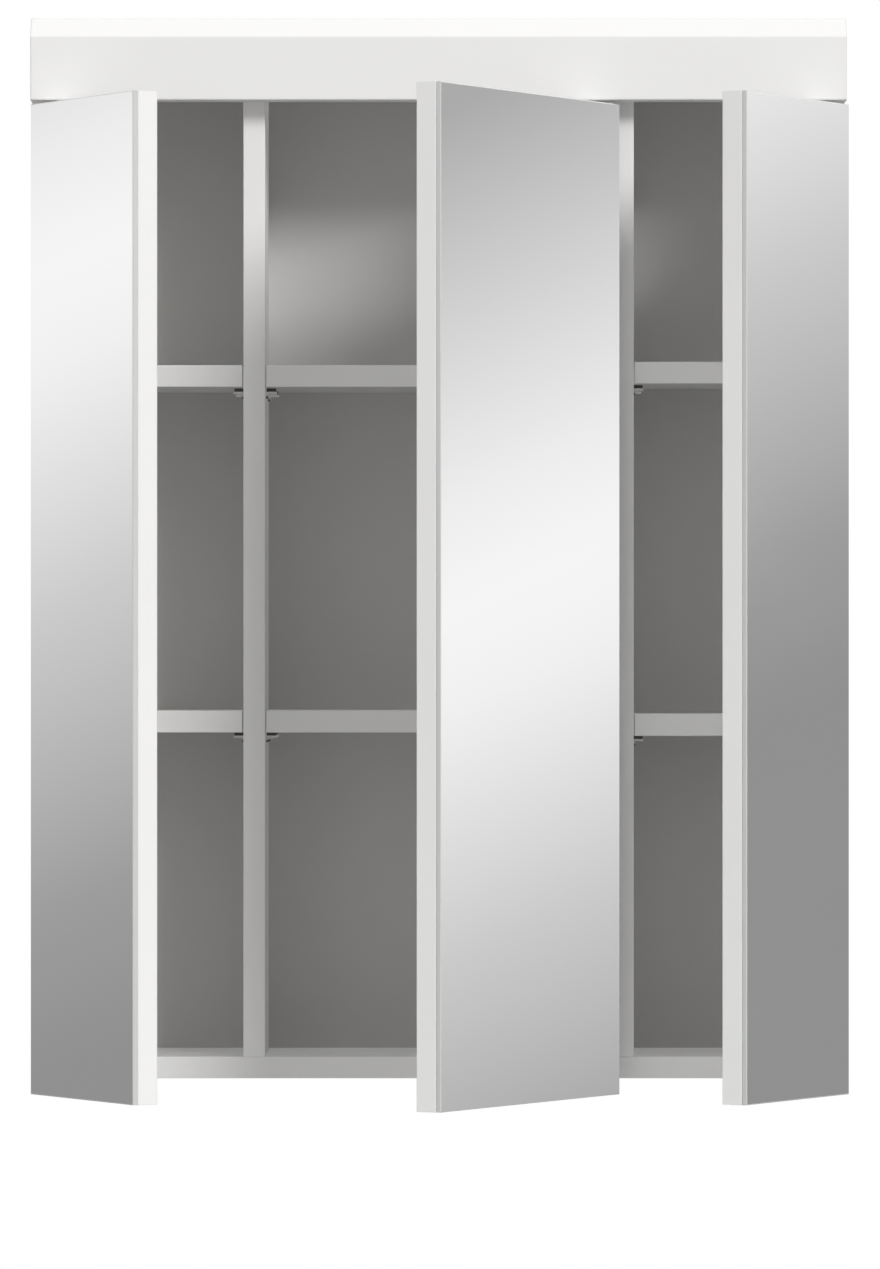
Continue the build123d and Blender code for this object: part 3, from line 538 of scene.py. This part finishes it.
# painted highlight where the edge faces up
tone = blend_colours(tree, facing(tree, 2, FACES_UP), pale_green, EDGE_TOP_HIGHLIGHT)
feed(tree, shader.inputs["Base Color"], tone)
shader.inputs["Coat Weight"].default_value = 0.5
shader.inputs["Coat Roughness"].default_value = 0.05
relief(tree, shader, ripple, 0.01)
backing, tree, shader = start_finish("mirror_backing", 0.7)
spray = noise(tree, 700, 3)
feed(tree, shader.inputs["Base Color"], blend_colours(tree, spray, PAINT_LOW, PAINT_HIGH))
relief(tree, shader, spray, 0.02)
print("mirror finishes: 3")

# %% [markdown]
# ## Dress the CAD nodes
# The CAD meshes keep their shape and place. Each only gets the finish that the packed
# record names for it.

# %% Give every CAD node its finish
FINISHES = {
    "carcass_melamine": carcass_melamine,
    "door_melamine": door_melamine,
    "rail_melamine": rail_melamine,
    "cornice_lacquer": cornice_lacquer,
    "back_board": back_board,
    "mirror_glass": silver,
    "nickel_steel": nickel_steel,
    "zinc_steel": zinc_steel,
    "clear_rubber": clear_rubber,
    "soft_pad": soft_pad,
    "beech": beech,
}
slot_of = {part["node"]: part["material_slot"] for part in frame["record"]["subparts"]}
for name, node in nodes.items():
    node.data.materials.clear()
    node.data.materials.append(FINISHES[slot_of[name]])
print("dressed nodes:", len(nodes))

# %% [markdown]
# ## Directions of the doors
# Each door hangs 60 degrees open on its own swing axis. Points on it are easiest in the
# door's own terms: how far along the leaf, how far towards its back, and how high.

# %% The doors' directions
REST_ANGLE = math.radians(60)
HANDS = {"left": 1, "middle": -1, "right": -1}


def door_ways(door):
    """Unit vectors along the open door and to its back."""
    hand = HANDS[door]
    along = Vector((hand * math.cos(REST_ANGLE), -math.sin(REST_ANGLE), 0))
    to_back = Vector((hand * math.sin(REST_ANGLE), math.cos(REST_ANGLE), 0))
    return along, to_back


def span(piece, way):
    """Lowest and highest reach of a piece's points along a direction."""
    reaches = [vertex.co.dot(way) for vertex in piece.data.vertices]
    return min(reaches), max(reaches)


print("left door runs along", [round(v, 3) for v in door_ways("left")[0]])

# %% [markdown]
# ## The mirror sheets
# The sheets replace their CAD nodes, at the same size and place, because they need three
# finishes: silver in front, glass round the edge and paint behind. A box is cut from the
# node's reach in the door's directions, and Bevel rounds its rims like a polished arris.


# %% Cut and polish one sheet
ARRIS_MM = 0.7
FLAT = 0.999


def mirror_sheet(door):
    """Build one door's sheet of mirror glass, with a rounded arris."""
    along, to_back = door_ways(door)
    up = Vector((0, 0, 1))
    spans = [span(nodes[f"mirror_{door}"], way) for way in (along, to_back, up)]
    shape = bmesh.new()
    corners = {}
    for i in (0, 1):
        for j in (0, 1):
            for k in (0, 1):
                place = along * spans[0][i] + to_back * spans[1][j] + up * spans[2][k]
                corners[i, j, k] = shape.verts.new(place)
    for axis in range(3):
        for end in (0, 1):
            ring = [(0, 0), (0, 1), (1, 1), (1, 0)]
            shape.faces.new([corners[tuple(r[:axis] + (end,) + r[axis:])] for r in ring])
    bmesh.ops.recalc_face_normals(shape, faces=shape.faces)
    rims = [e for e in shape.edges if abs((e.verts[0].co - e.verts[1].co).dot(to_back)) < 0.1 * MM]
    bmesh.ops.bevel(
        shape, geom=rims, offset=ARRIS_MM * MM, segments=3, profile=0.5, affect="EDGES"
    )
    shape.normal_update()
    for face in shape.faces:
        lean = face.normal.dot(to_back)
        face.material_index = 0 if lean < -FLAT else 2 if lean > FLAT else 1
    mesh = bpy.data.meshes.new(f"mirror_sheet_{door}")
    shape.to_mesh(mesh)
    shape.free()
    for finish in (silver, glass_edge, backing):
        mesh.materials.append(finish)
    sheet = bpy.data.objects.new(f"mirror_sheet_{door}", mesh)
    scene.collection.objects.link(sheet)
    return sheet


for door in HANDS:
    sheet = mirror_sheet(door)
    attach(sheet, f"door_{door}")
    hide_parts(f"mirror_{door}")
    print(sheet.name, "faces:", len(sheet.data.polygons))

# %% [markdown]
# ## Small parts that repeat
# Made here are 28 countersunk screws and 24 shelf supports with their pads. Each kind is
# one small Geometry Nodes tree that builds the part once and sets it on every point. The
# points come from the CAD solids, found as the loose islands of each node.


# %% Find the separate solids of a node
WORLD_WAYS = (Vector((1, 0, 0)), Vector((0, 1, 0)), Vector((0, 0, 1)))


def islands(node, ways=WORLD_WAYS):
    """The middle of each separate solid in a CAD node, measured along three directions."""
    shape = bmesh.new()
    shape.from_mesh(nodes[node].data)
    bmesh.ops.remove_doubles(shape, verts=shape.verts, dist=0.001 * MM)
    waiting = set(shape.verts)
    centres = []
    while waiting:
        group = [waiting.pop()]
        for vertex in group:
            for edge in vertex.link_edges:
                other = edge.other_vert(vertex)
                if other in waiting:
                    waiting.remove(other)
                    group.append(other)
        centre = Vector((0, 0, 0))
        for way in ways:
            reaches = [vertex.co.dot(way) for vertex in group]
            centre += way * (min(reaches) + max(reaches)) / 2
        centres.append(centre)
    shape.free()
    return sorted(centres, key=lambda centre: [round(value, 5) for value in centre])


print("plate screws found:", len(islands("plate_screws")))


# %% Helpers for Geometry Nodes
def new_tree(name, sizes):
    """A geometry tree with a Geometry input and named sizes; returns it and its input node."""
    tree = bpy.data.node_groups.new(name, "GeometryNodeTree")
    tree.interface.new_socket("Geometry", in_out="OUTPUT", socket_type="NodeSocketGeometry")
    tree.interface.new_socket("Geometry", in_out="INPUT", socket_type="NodeSocketGeometry")
    for size in sizes:
        tree.interface.new_socket(size, in_out="INPUT", socket_type="NodeSocketFloat")
    return tree, add(tree, "NodeGroupInput")


def moved(tree, geometry, offset, turn=None):
    """The geometry turned and moved by the offset."""
    node = add(tree, "GeometryNodeTransform")
    feed(tree, node.inputs["Geometry"], geometry)
    if turn:
        node.inputs["Rotation"].default_value = turn
    feed(tree, node.inputs["Translation"], offset)
    return node.outputs[0]


def vector(tree, x, y, z):
    """A vector made of three numbers or outputs."""
    node = add(tree, "ShaderNodeCombineXYZ")
    for socket, value in zip(node.inputs, (x, y, z)):
        feed(tree, socket, value)
    return node.outputs[0]


def joined(tree, *parts):
    """All the parts as one geometry."""
    node = add(tree, "GeometryNodeJoinGeometry")
    for part in reversed(parts):
        tree.links.new(part, node.inputs[0])
    return node.outputs[0]


def finish_tree(tree, inputs, part, material, axis="Z", pivot="AUTO"):
    """Set the part on every point, its axis along the aim, as real geometry with its material."""
    aim = add(tree, "GeometryNodeInputNamedAttribute", data_type="FLOAT_VECTOR")
    aim.inputs["Name"].default_value = "aim"
    align = add(tree, "FunctionNodeAlignRotationToVector", axis=axis, pivot_axis=pivot)
    feed(tree, align.inputs["Vector"], aim.outputs["Attribute"])
    setter = add(tree, "GeometryNodeInstanceOnPoints")
    feed(tree, setter.inputs["Points"], inputs.outputs["Geometry"])
    feed(tree, setter.inputs["Instance"], part)
    feed(tree, setter.inputs["Rotation"], align.outputs[0])
    real = add(tree, "GeometryNodeRealizeInstances")
    feed(tree, real.inputs[0], setter.outputs[0])
    paint = add(tree, "GeometryNodeSetMaterial")
    feed(tree, paint.inputs["Geometry"], real.outputs[0])
    paint.inputs["Material"].default_value = material
    feed(tree, add(tree, "NodeGroupOutput").inputs[0], paint.outputs[0])
    return tree


def set_on_points(name, tree, places, aims, sizes):
    """Run the tree on the points and keep the result as one plain mesh at the origin."""
    cloud = bpy.data.meshes.new(name + "_points")
    cloud.from_pydata([tuple(p) for p in places], [], [])
    holder = bpy.data.objects.new(name, cloud)
    scene.collection.objects.link(holder)
    attribute = cloud.attributes.new("aim", "FLOAT_VECTOR", "POINT")
    for number, way in enumerate(aims):
        attribute.data[number].vector = way
    modifier = holder.modifiers.new("parts", "NODES")
    modifier.node_group = tree
    for item in tree.interface.items_tree:
        if item.in_out == "INPUT" and item.name in sizes:
            modifier[item.identifier] = sizes[item.name] * MM
    bpy.context.view_layer.update()
    depsgraph = bpy.context.evaluated_depsgraph_get()
    mesh = bpy.data.meshes.new_from_object(holder.evaluated_get(depsgraph))
    holder.modifiers.remove(modifier)
    mesh.name = name
    holder.data = mesh
    print(name, "points:", len(places), "faces:", len(mesh.polygons))
    return holder


# %% [markdown]
# ## Screws
# A countersunk screw is a cone on a shank, with the driver's cross sunk into its flat head.
# The cross is two bars, taken out of the head with Mesh Boolean before the screw is set
# on its points, so the cut is made only once. The head's top lies at the origin and the
# screw points down, so its aim is the way that the head faces.

# %% Countersunk screws
SCREW_SIZES = ["Head", "Head height", "Shank", "Length"]
# the bars that cut the cross: length, width and height as shares of the head's width
BAR_SHARES = (0.56, 0.11, 0.3)
# between the top and bottom boards, in metres
MIDDLE_Z = -0.3


def screw_tree(name, material):
    """A countersunk screw: a coned head with a driver's cross in it, on a plain shank."""
    tree, inputs = new_tree(name, SCREW_SIZES)
    head, head_height, shank, length = inputs.outputs[1:5]
    cone = add(tree, "GeometryNodeMeshCone")
    cone.inputs["Vertices"].default_value = 32
    feed(tree, cone.inputs["Radius Top"], calc(tree, "MULTIPLY", head, 0.5))
    feed(tree, cone.inputs["Radius Bottom"], calc(tree, "MULTIPLY", shank, 0.5))
    feed(tree, cone.inputs["Depth"], head_height)
    head_bottom = calc(tree, "MULTIPLY", head_height, -1.0)
    head_part = moved(tree, cone.outputs["Mesh"], vector(tree, 0.0, 0.0, head_bottom))
    cut = add(tree, "GeometryNodeMeshBoolean", operation="DIFFERENCE", solver="EXACT")
    feed(tree, cut.inputs["Mesh 1"], head_part)
    for turn in (0.0, math.radians(90)):
        bar = add(tree, "GeometryNodeMeshCube")
        bar_size = [calc(tree, "MULTIPLY", head, share) for share in BAR_SHARES]
        feed(tree, bar.inputs["Size"], vector(tree, *bar_size))
        bar_part = moved(tree, bar.outputs["Mesh"], (0, 0, 0), (0, 0, turn))
        tree.links.new(bar_part, cut.inputs["Mesh 2"])
    stem = add(tree, "GeometryNodeMeshCylinder")
    stem.inputs["Vertices"].default_value = 24
    feed(tree, stem.inputs["Radius"], calc(tree, "MULTIPLY", shank, 0.5))
    feed(tree, stem.inputs["Depth"], calc(tree, "SUBTRACT", length, head_height))
    stem_middle = calc(tree, "MULTIPLY", calc(tree, "ADD", length, head_height), -0.5)
    stem_part = moved(tree, stem.outputs["Mesh"], vector(tree, 0.0, 0.0, stem_middle))
    return finish_tree(tree, inputs, joined(tree, cut.outputs["Mesh"], stem_part), material)


nickel_screws = screw_tree("nickel_screws", nickel_steel)
zinc_screws = screw_tree("zinc_screws", zinc_steel)


def screws(name, tree, node, body, aim_of, sizes, ways=WORLD_WAYS):
    """Replace a node of screws by finely made ones at the same places."""
    centres = islands(node, ways)
    aims = [aim_of(centre) for centre in centres]
    middle = sizes["Length"] / 2 * MM
    tops = [centre + aim * middle for centre, aim in zip(centres, aims)]
    piece = set_on_points(name, tree, tops, aims, sizes)
    reach = [round(limit / MM, 2) for limit in span(piece, aims[0])]
    cad_reach = [round(limit / MM, 2) for limit in span(nodes[node], aims[0])]
    print("reach along the aim, mm:", reach, "CAD:", cad_reach)
    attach(piece, body)
    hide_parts(node)
    return piece


def off_the_wall(centre):
    """Screws in the hinge plates face away from the board that carries them."""
    return Vector((1 if centre.x < 0 else -1, 0, 0))


def up_or_down(centre):
    """Partition screws face up on the top board and down on the bottom board."""
    return Vector((0, 0, 1 if centre.z > MIDDLE_Z else -1))


# %% Set the screws
plate_sizes = {"Head": 8, "Head height": 1.75, "Shank": 4.5, "Length": 13}
screws(
    "plate_screw_set", nickel_screws, "plate_screws", "carcass",
    off_the_wall, plate_sizes,
)
partition_sizes = {"Head": 8, "Head height": 2, "Shank": 4, "Length": 45}
screws(
    "partition_screw_set", zinc_screws, "partition_screws", "carcass",
    up_or_down, partition_sizes,
)
cup_sizes = {"Head": 7, "Head height": 1.75, "Shank": 3.5, "Length": 12}
for door in HANDS:
    along_way, back_way = door_ways(door)
    screws(
        f"cup_screw_set_{door}", nickel_screws, f"cup_screws_{door}", f"door_{door}",
        lambda centre: back_way, cup_sizes, (along_way, back_way, WORLD_WAYS[2]),
    )

# %% [markdown]
# ## Shelf supports
# Every shelf rests on four small steel angles: a pin in the wall and a flat plate with
# rounded corners, with a dark pad on it that keeps the shelf from sliding. The pad's near-black
# tone is also painted shade of the gap under the shelf. Curve to Mesh sweeps a rounded
# rectangle through the plate's thickness, which gives neat corners.

# %% The support and its pad
SUPPORT_SIZES = ["Reach", "Width", "Thickness", "Pin", "Pin length"]
CORNER_SHARE = 0.18
STRAIGHT_SHARE, TIP_SHARE = 0.8, 0.2
TIP_RADIUS_SHARE = 0.36


def rounded_plate(tree, x_size, y_size, bottom, top):
    """A plate with rounded corners, from the wall outwards, between two levels."""
    outline = add(tree, "GeometryNodeCurvePrimitiveQuadrilateral")
    feed(tree, outline.inputs["Width"], x_size)
    feed(tree, outline.inputs["Height"], y_size)
    corners = add(tree, "GeometryNodeFilletCurve", mode="POLY")
    feed(tree, corners.inputs["Curve"], outline.outputs[0])
    corners.inputs["Count"].default_value = 5
    feed(tree, corners.inputs["Radius"], calc(tree, "MULTIPLY", x_size, CORNER_SHARE))
    upright = add(tree, "GeometryNodeCurvePrimitiveLine")
    feed(tree, upright.inputs["Start"], vector(tree, 0.0, 0.0, bottom))
    feed(tree, upright.inputs["End"], vector(tree, 0.0, 0.0, top))
    solid = add(tree, "GeometryNodeCurveToMesh")
    feed(tree, solid.inputs["Curve"], upright.outputs[0])
    feed(tree, solid.inputs["Profile Curve"], corners.outputs[0])
    solid.inputs["Fill Caps"].default_value = True
    half = calc(tree, "MULTIPLY", x_size, 0.5)
    return moved(tree, solid.outputs[0], vector(tree, half, 0.0, 0.0))


def support_tree():
    """A pin with a tapered tip in the wall, and the plate above it."""
    tree, inputs = new_tree("shelf_support", SUPPORT_SIZES)
    reach, width, thickness, pin, pin_length = inputs.outputs[1:6]
    level = calc(tree, "MULTIPLY", pin, -0.5)
    plate = rounded_plate(tree, reach, width, calc(tree, "MULTIPLY", thickness, -1.0), 0.0)
    stem = add(tree, "GeometryNodeMeshCylinder")
    stem.inputs["Vertices"].default_value = 24
    feed(tree, stem.inputs["Radius"], calc(tree, "MULTIPLY", pin, 0.5))
    stem_length = calc(tree, "MULTIPLY_ADD", pin_length, STRAIGHT_SHARE, thickness)
    feed(tree, stem.inputs["Depth"], stem_length)
    stem_ends = calc(tree, "MULTIPLY_ADD", pin_length, -STRAIGHT_SHARE, thickness)
    stem_x = calc(tree, "MULTIPLY", stem_ends, 0.5)
    turned = (0, math.radians(-90), 0)
    stem_part = moved(tree, stem.outputs["Mesh"], vector(tree, stem_x, 0.0, level), turned)
    tip = add(tree, "GeometryNodeMeshCone")
    tip.inputs["Vertices"].default_value = 24
    feed(tree, tip.inputs["Radius Bottom"], calc(tree, "MULTIPLY", pin, 0.5))
    feed(tree, tip.inputs["Radius Top"], calc(tree, "MULTIPLY", pin, TIP_RADIUS_SHARE))
    feed(tree, tip.inputs["Depth"], calc(tree, "MULTIPLY", pin_length, TIP_SHARE))
    tip_x = calc(tree, "MULTIPLY", pin_length, -STRAIGHT_SHARE)
    tip_part = moved(tree, tip.outputs["Mesh"], vector(tree, tip_x, 0.0, level), turned)
    support = joined(tree, plate, stem_part, tip_part)
    return finish_tree(tree, inputs, support, nickel_steel, "X", "Z")


def pad_tree():
    """The soft pad that lies on a support's plate."""
    tree, inputs = new_tree("support_pad", SUPPORT_SIZES)
    reach, width, thickness = inputs.outputs[1:4]
    pad = rounded_plate(tree, reach, width, 0.0, thickness)
    return finish_tree(tree, inputs, pad, soft_pad, "X", "Z")


# %% Set the supports and pads
WALLS_MM = (-284, -144, -128, 128, 144, 284)
REACH, WIDTH = 8.0, 12.0
PAD_INSET, PAD_THICKNESS = 0.5, 2.5
support_sizes = {"Reach": REACH, "Width": WIDTH, "Thickness": 1.8, "Pin": 5, "Pin length": 7}
pad_sizes = {
    "Reach": REACH - 2 * PAD_INSET, "Width": WIDTH - 2 * PAD_INSET, "Thickness": PAD_THICKNESS,
}
feet = []
outs = []
for centre in islands("shelf_pads"):
    wall = min(WALLS_MM, key=lambda place: abs(centre.x / MM - place))
    feet.append(Vector((wall * MM, centre.y, centre.z - PAD_THICKNESS / 2 * MM)))
    outs.append(Vector((1 if centre.x / MM > wall else -1, 0, 0)))
pad_feet = [foot + out * PAD_INSET * MM for foot, out in zip(feet, outs)]
supports = set_on_points("support_set", support_tree(), feet, outs, support_sizes)
pads = set_on_points("pad_set", pad_tree(), pad_feet, outs, pad_sizes)
for piece, node, slot in (
    (supports, "shelf_supports", "nickel_steel"),
    (pads, "shelf_pads", "soft_pad"),
):
    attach(piece, "carcass")
    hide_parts(node)
    size = [round(length / MM, 1) for length in piece.dimensions]
    cad_size = [round(length / MM, 1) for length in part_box(node)[1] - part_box(node)[0]]
    print(piece.name, "size", size, "CAD", cad_size)

# %% [markdown]
# ## What the mirrors may show
# In the photograph the middle mirror shows nothing but the studio's slanted band, although
# the right door stands beside it. So the cabinet, like the floor, is left out of mirror
# reflections, which is a switch on each object; every other ray still meets it.

# %% Keep the cabinet out of reflections
for piece in scene.objects:
    if piece.type == "MESH":
        piece.visible_glossy = False
